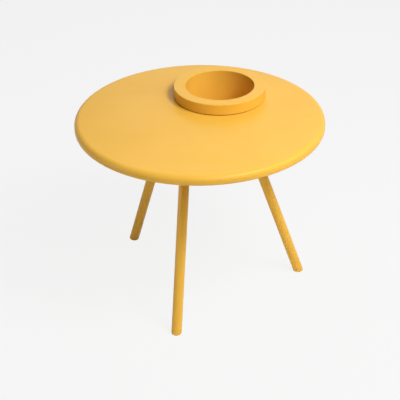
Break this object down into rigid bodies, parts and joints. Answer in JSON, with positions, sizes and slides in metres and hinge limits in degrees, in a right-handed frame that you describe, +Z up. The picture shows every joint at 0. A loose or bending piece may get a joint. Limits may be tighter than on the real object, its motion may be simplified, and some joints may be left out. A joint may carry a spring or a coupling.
{
  "type": "planter side table",
  "caption": "Low round metal side table on splayed tube legs, with an off-centre lift-out planter pot whose broad ring rim stands above the top.",
  "frame": {"origin": "on the floor, under the middle of the round tabletop", "axes": "+Z up; +Y from the table's middle towards the pot's axis; +X to the right when the pot is at the back"},
  "size_m": [0.6, 0.6, 0.4945],
  "materials": {
    "yellow_coat": "satin",
    "yellow_nylon": "matte",
    "stainless": "satin",
    "dark_rubber": "matte"
  },
  "bodies": {
    "table": {"tabletop": "yellow_coat", "mounting_plate": "yellow_coat", "leg_socket_front": "yellow_coat", "leg_socket_right": "yellow_coat", "leg_socket_left": "yellow_coat", "leg_front": "yellow_coat", "leg_right": "yellow_coat", "leg_left": "yellow_coat", "foot_cap_front": "yellow_nylon", "foot_cap_right": "yellow_nylon", "foot_cap_left": "yellow_nylon", "leg_lock_screws": "stainless", "plate_studs": "stainless", "plate_washers": "stainless", "plate_nuts": "stainless", "socket_studs": "stainless", "socket_washers": "stainless", "socket_nuts": "stainless", "collar_trim": "dark_rubber"},
    "pot": {"planter_pot": "yellow_coat", "planter_rim": "yellow_coat"},
    "plug": {"drain_plug": "dark_rubber"}
  },
  "joints": [
    {"name": "pot_lift", "type": "slide", "parent": "table", "child": "pot", "axis": [0, 0, 1], "range_m": [0, 0.19]},
    {"name": "plug_pull", "type": "slide", "parent": "pot", "child": "plug", "axis": [0, 0, -1], "range_m": [0, 0.03]}
  ]
}
